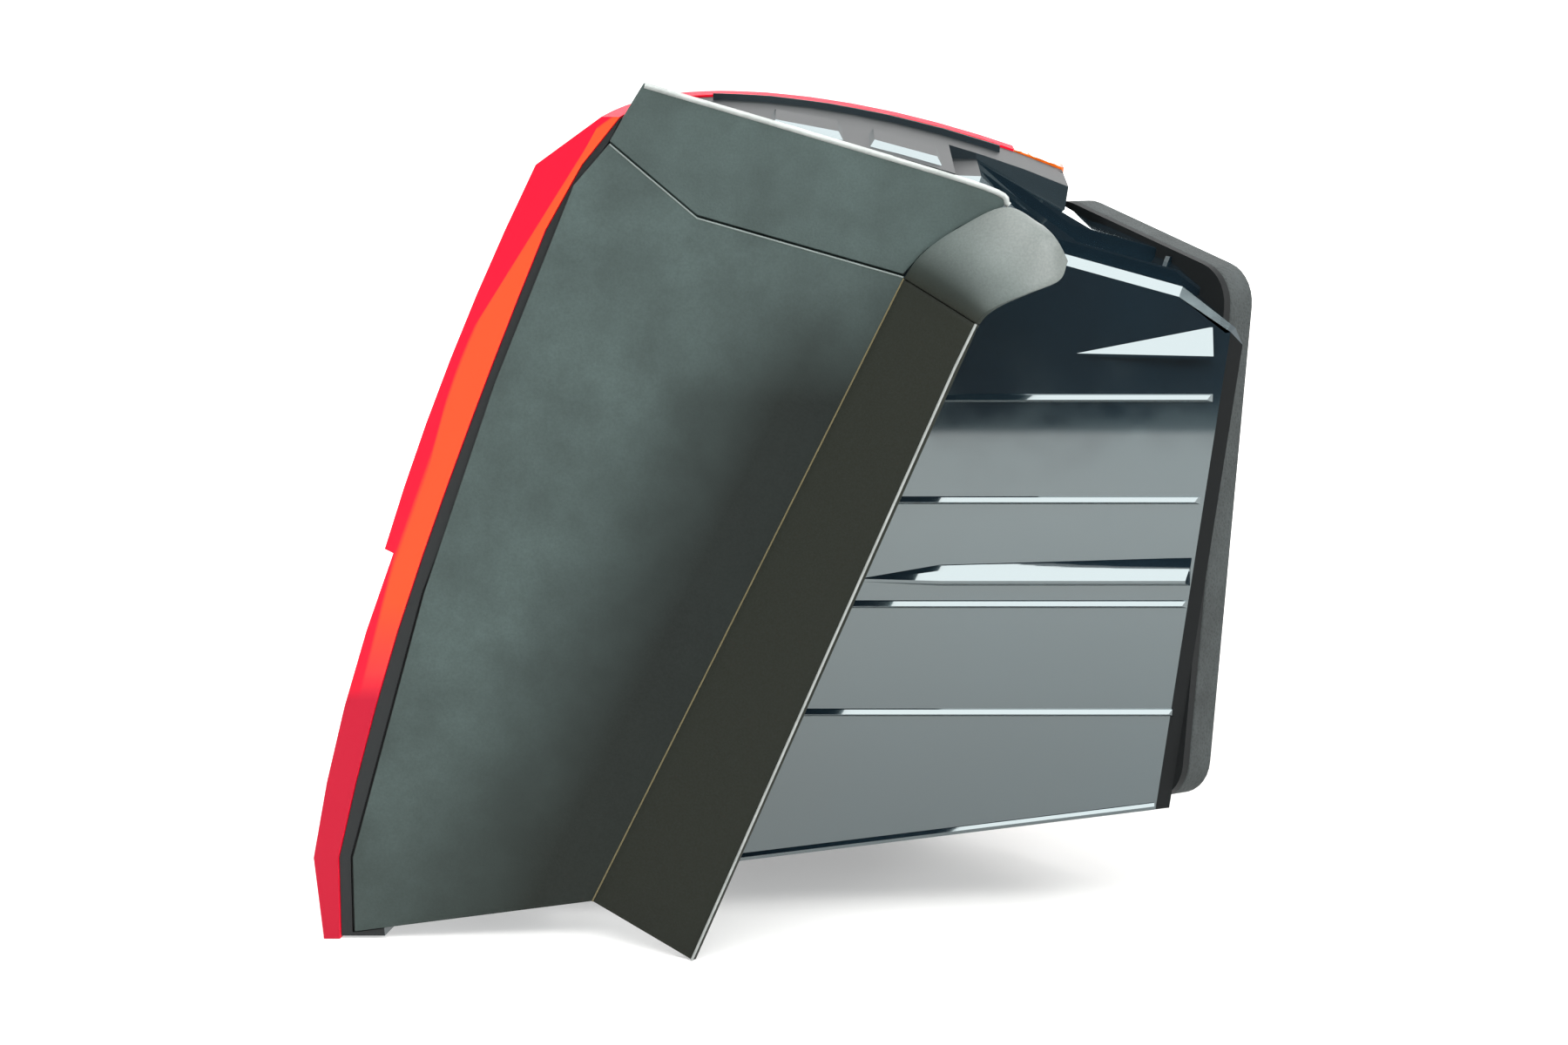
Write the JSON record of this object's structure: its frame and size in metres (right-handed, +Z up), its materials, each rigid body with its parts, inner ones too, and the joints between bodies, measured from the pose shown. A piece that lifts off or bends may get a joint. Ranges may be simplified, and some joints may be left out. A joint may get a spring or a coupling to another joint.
{
  "type": "tail light cluster",
  "caption": "Rear lamp cluster for the left side of a car: wrap-round red lens, housing with bulb carrier, grey gap cover with flared lip, and a stud flange with foam gasket.",
  "frame": {"origin": "foot of the upper stud's shank, on its axis", "axes": "+X to the front of the car, +Y to its outer side, +Z up, as fitted"},
  "size_m": [0.3239, 0.1786, 0.298],
  "materials": {
    "housing_black": "gloss black moulded ABS with a dark navy reflection",
    "cover_grey": "fine-grained matte dark grey polypropylene",
    "lens_red": "clear red moulded acrylic, polished",
    "lens_amber": "clear amber moulded acrylic, polished",
    "lens_clear": "clear moulded acrylic with fine flutes",
    "reflex_red": "red acrylic with corner prisms on its back",
    "reflector_silver": "vacuum-metallised plastic, mirror bright",
    "foam_grey": "closed-cell foam rubber, matte dark grey",
    "carrier_white": "off-white glass-filled nylon",
    "seal_black": "soft black rubber",
    "contact_metal": "tinned brass strip",
    "bulb_glass": "thin clear glass",
    "bulb_brass": "drawn nickel-plated brass",
    "clip_steel": "spring steel",
    "stud_zinc": "zinc-plated steel with a rolled thread",
    "pin_plastic": "black moulded plastic"
  },
  "bodies": {
    "root": {"housing": "housing_black", "side_cover": "cover_grey", "lens_red": "lens_red", "lens_amber": "lens_amber", "lens_clear": "lens_clear", "marker_window": "lens_amber", "reflex_insert": "reflex_red", "reflector": "reflector_silver", "gasket": "foam_grey", "bulb_carrier": "carrier_white", "carrier_seal": "seal_black", "earth_strip": "contact_metal", "live_strips": "contact_metal", "connector_pins": "contact_metal", "stop_glass": "bulb_glass", "stop_base": "bulb_brass", "turn_glass": "bulb_glass", "turn_base": "bulb_brass", "reverse_glass": "bulb_glass", "reverse_base": "bulb_brass", "carrier_clips": "clip_steel", "stud_upper": "stud_zinc", "stud_lower": "stud_zinc", "locating_pin": "pin_plastic", "stud_washers": "seal_black", "vent_cap": "seal_black"}
  },
  "joints": []
}
